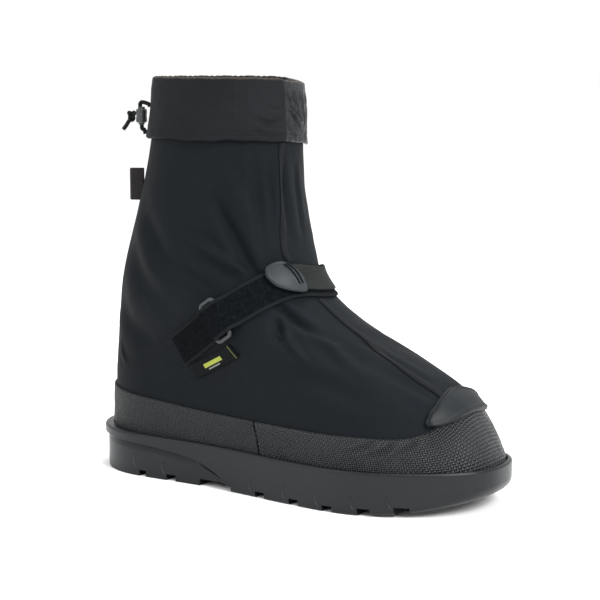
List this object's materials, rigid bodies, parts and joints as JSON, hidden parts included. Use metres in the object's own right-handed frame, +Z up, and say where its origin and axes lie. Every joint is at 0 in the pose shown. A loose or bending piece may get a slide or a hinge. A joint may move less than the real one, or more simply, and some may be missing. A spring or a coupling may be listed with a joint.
{
  "type": "winter overshoe",
  "caption": "Tall fabric overshoe with a turned-down cuff, textured foxing, toe patch, instep strap and a moulded rubber sole with a notched edge.",
  "frame": {"origin": "on the floor under the middle of the heel, on the tread's flat heel block", "axes": "+X from heel to toe, +Y to the inner side of the foot, +Z up out of the collar"},
  "size_m": [0.325, 0.123, 0.2932],
  "materials": {
    "lock_plastic": "moulded, slightly translucent",
    "cuff_cloth": "matte ripstop",
    "gusset_cloth": "semi-gloss coated nylon",
    "cord": "braided cord",
    "binding_tape": "matte binding tape",
    "foxing_cloth": "rubber-coated coarse weave, low sheen",
    "footbed": "dull felt",
    "pile_tape": "short pile, dull",
    "sole_rubber": "satin moulded rubber",
    "loop_webbing": "woven webbing",
    "tab_rubber": "satin moulded rubber",
    "webbing": "ribbed webbing",
    "tag_cloth": "woven label",
    "ring_plastic": "moulded, satin",
    "patch_rubber": "smooth satin rubber",
    "shaft_cloth": "matte woven nylon"
  },
  "bodies": {
    "root": {"cord_lock": "lock_plastic", "cuff": "cuff_cloth", "cuff_gusset": "gusset_cloth", "drawcord_knot": "cord", "drawcord_lower": "cord", "drawcord_tail": "cord", "drawcord_upper": "cord", "flap_binding_shaft": "binding_tape", "flap_binding_vamp": "binding_tape", "foxing_rear": "foxing_cloth", "foxing_toe": "foxing_cloth", "insole": "footbed", "instep_strap": "pile_tape", "outsole": "sole_rubber", "pull_loop": "loop_webbing", "pull_tab": "tab_rubber", "return_strap": "webbing", "side_tag": "tag_cloth", "strap_anchor_inner": "pile_tape", "strap_anchor_outer": "pile_tape", "strap_ring_inner": "ring_plastic", "strap_ring_outer": "ring_plastic", "toe_patch": "patch_rubber", "upper": "shaft_cloth"}
  },
  "joints": []
}
